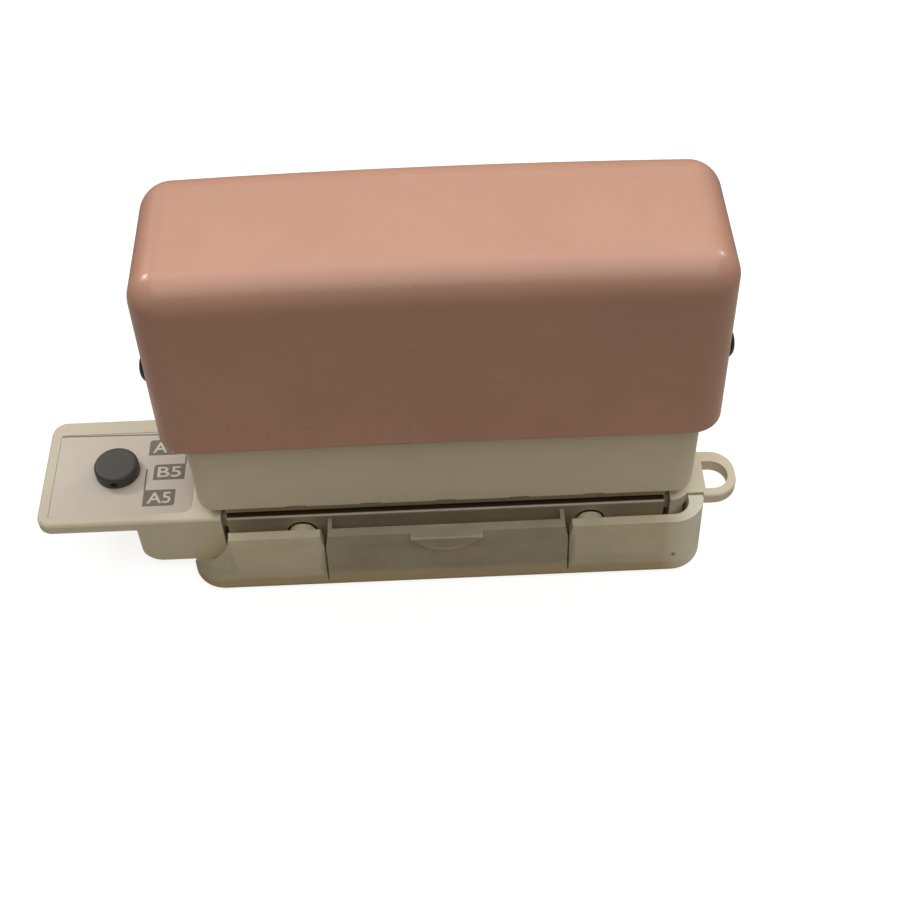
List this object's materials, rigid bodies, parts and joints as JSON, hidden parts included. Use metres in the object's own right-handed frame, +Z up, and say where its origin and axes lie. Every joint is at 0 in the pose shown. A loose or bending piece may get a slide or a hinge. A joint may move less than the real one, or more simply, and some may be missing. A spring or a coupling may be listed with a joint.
{
  "type": "loose-leaf paper punch",
  "caption": "Hand-pressed loose-leaf paper punch: tall cover over a row of punches, a side gauge for sheet sizes, a hinged chip tray and a lanyard loop.",
  "frame": {"origin": "on the resting face, under the middle of the punch row", "axes": "+X along the punch row to the user's right, +Y from the mouth of the paper slot to the back, +Z up"},
  "size_m": [0.0906, 0.0242, 0.0512],
  "materials": {
    "pink_shell": "satin moulded plastic, dusty salmon pink",
    "ivory_shell": "satin moulded plastic, ivory",
    "ivory_base": "satin moulded plastic, ivory",
    "label_print": "matt printed film, pale grey",
    "grey_pin": "dark grey moulded plastic",
    "frosted_tray": "frosted translucent moulded plastic",
    "dark_pin": "black oxide",
    "cast_bar": "die-cast, matt",
    "spring_steel": "drawn wire and stamped strip",
    "guide_steel": "bright stamped strip",
    "die_steel": "nickel-plated stamping",
    "stop_strip": "stamped strip",
    "rivet_steel": "plated",
    "screw_steel": "zinc-plated",
    "punch_steel": "ground and hardened"
  },
  "bodies": {
    "frame": {"base_frame": "ivory_base", "die_plate": "die_steel", "guide_plate": "guide_steel", "paper_stop": "stop_strip", "frame_rivets": "rivet_steel", "upper_guide_plate": "guide_steel", "guide_screws": "screw_steel", "housing": "ivory_shell", "housing_screws": "screw_steel", "gauge_label": "label_print", "gauge_pin": "grey_pin", "punch_spring_1": "spring_steel", "punch_spring_2": "spring_steel", "punch_spring_3": "spring_steel", "punch_spring_4": "spring_steel", "punch_spring_5": "spring_steel", "punch_spring_6": "spring_steel"},
    "press_head": {"cover": "pink_shell", "cover_pin_left": "dark_pin", "cover_pin_right": "dark_pin", "press_bar": "cast_bar", "punch_clips": "spring_steel", "punch_1": "punch_steel", "punch_2": "punch_steel", "punch_3": "punch_steel", "punch_4": "punch_steel", "punch_5": "punch_steel", "punch_6": "punch_steel"},
    "tray": {"chip_tray": "frosted_tray"}
  },
  "joints": [
    {"name": "press_slide", "type": "slide", "parent": "frame", "child": "press_head", "axis": [0, 0, -1], "range_m": [0, 0.006], "stiffness_N_per_m": 600, "springref_m": -0.004, "deforming": ["punch_spring_1", "punch_spring_2", "punch_spring_3", "punch_spring_4", "punch_spring_5", "punch_spring_6"]},
    {"name": "tray_hinge", "type": "hinge", "parent": "frame", "child": "tray", "pos_m": [0, 0.0082, 0.0018], "axis": [1, 0, 0], "range_deg": [0, 75]}
  ]
}
